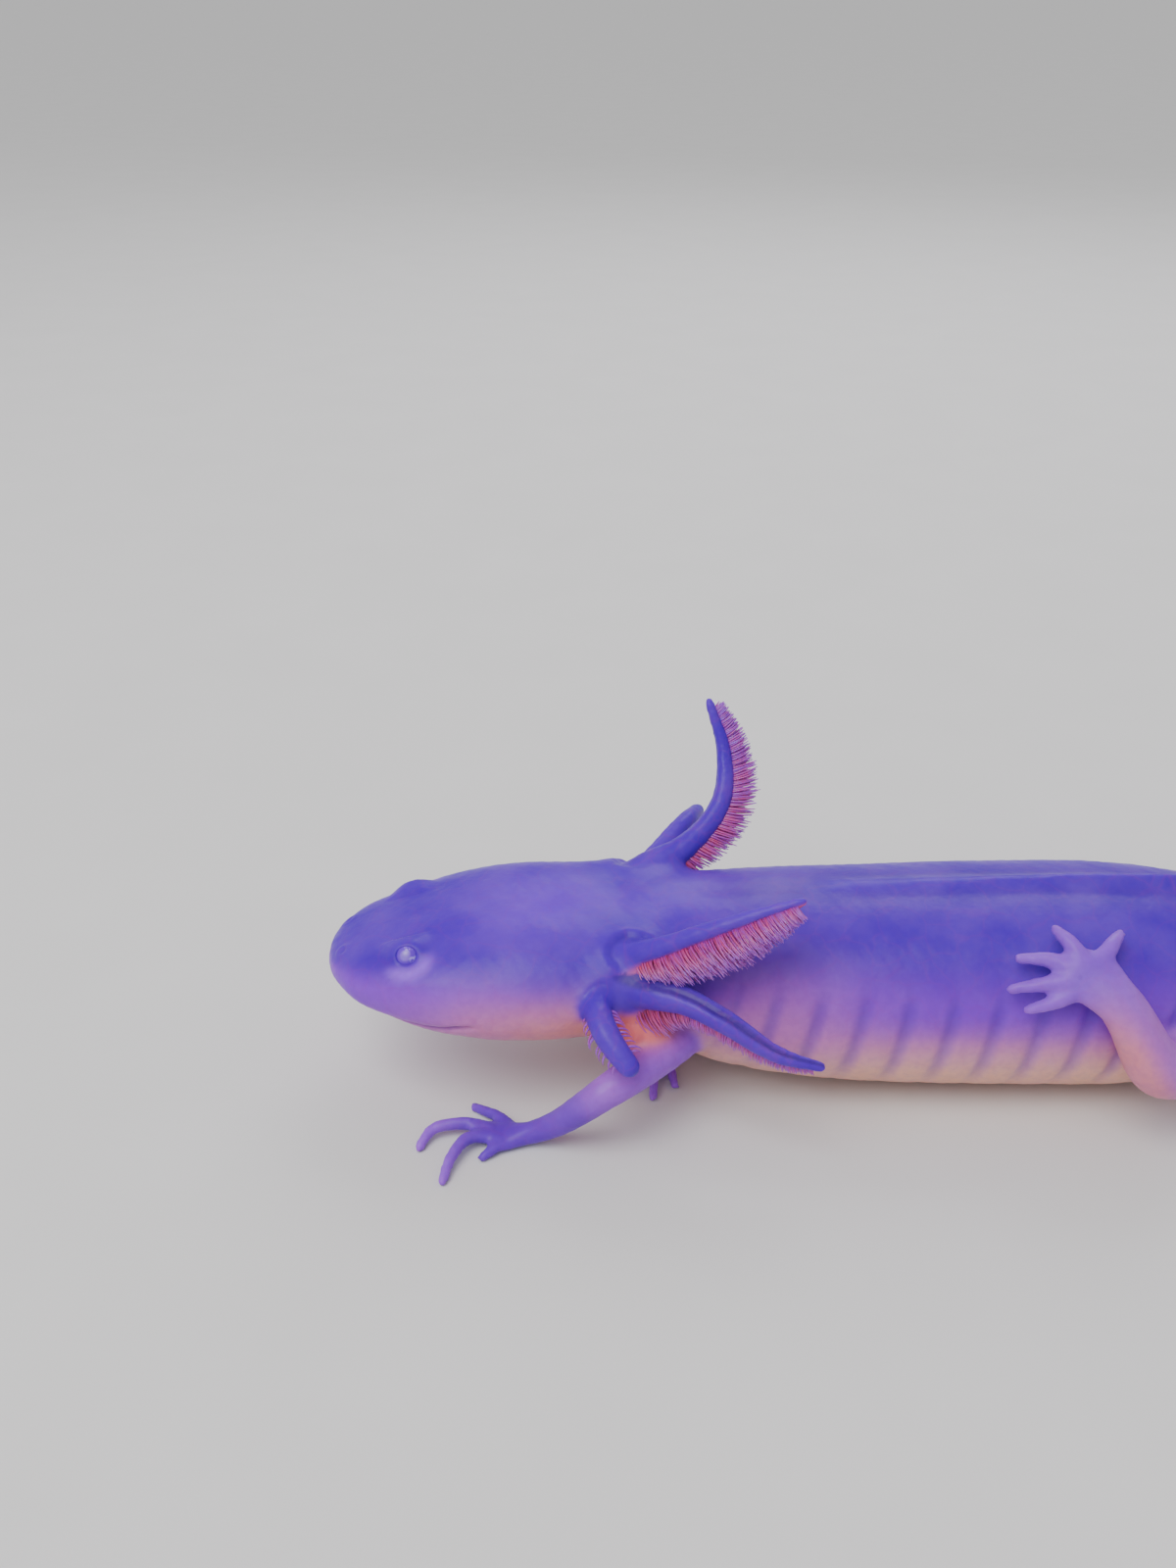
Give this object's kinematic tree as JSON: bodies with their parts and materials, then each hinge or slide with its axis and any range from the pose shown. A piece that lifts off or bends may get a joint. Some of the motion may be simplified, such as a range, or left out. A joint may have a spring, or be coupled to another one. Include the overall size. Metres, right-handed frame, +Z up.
{
  "type": "axolotl model",
  "caption": "Still, life-size model of a pale axolotl lying on its belly with the chest raised: feathery gills, spread toes and a long finned tail.",
  "frame": {"origin": "on the floor, under the middle of the animal's box", "axes": "+X runs from the snout towards the tail, +Y towards the animal's right side, +Z up from the floor"},
  "size_m": [0.241, 0.0742, 0.0484],
  "materials": {
    "skin": "moist, smooth, translucent skin",
    "gill_filaments": "moist coral-red gill filaments with paler tips",
    "eye": "wet, glossy pale eye"
  },
  "bodies": {
    "root": {"head": "skin", "lower_jaw": "skin", "neck": "skin", "trunk_front": "skin", "trunk_rear": "skin", "hips": "skin", "tail_base": "skin", "tail_middle": "skin", "tail_tip": "skin", "fin_back": "skin", "fin_top_base": "skin", "fin_top_middle": "skin", "fin_top_tip": "skin", "fin_bottom_base": "skin", "fin_bottom_middle": "skin", "fin_bottom_tip": "skin", "arm_left_upper": "skin", "arm_left_lower": "skin", "arm_left_palm": "skin", "arm_right_upper": "skin", "arm_right_lower": "skin", "arm_right_palm": "skin", "leg_left_upper": "skin", "leg_left_lower": "skin", "leg_left_palm": "skin", "leg_right_upper": "skin", "leg_right_lower": "skin", "leg_right_palm": "skin", "gill_left_upper": "skin", "gill_left_middle": "skin", "gill_left_lower": "skin", "gill_right_upper": "skin", "gill_right_middle": "skin", "gill_right_lower": "skin", "gill_left_upper_fringe": "gill_filaments", "gill_left_middle_fringe": "gill_filaments", "gill_left_lower_fringe": "gill_filaments", "gill_right_upper_fringe": "gill_filaments", "gill_right_middle_fringe": "gill_filaments", "gill_right_lower_fringe": "gill_filaments", "eye_left": "eye", "eye_right": "eye"}
  },
  "joints": []
}
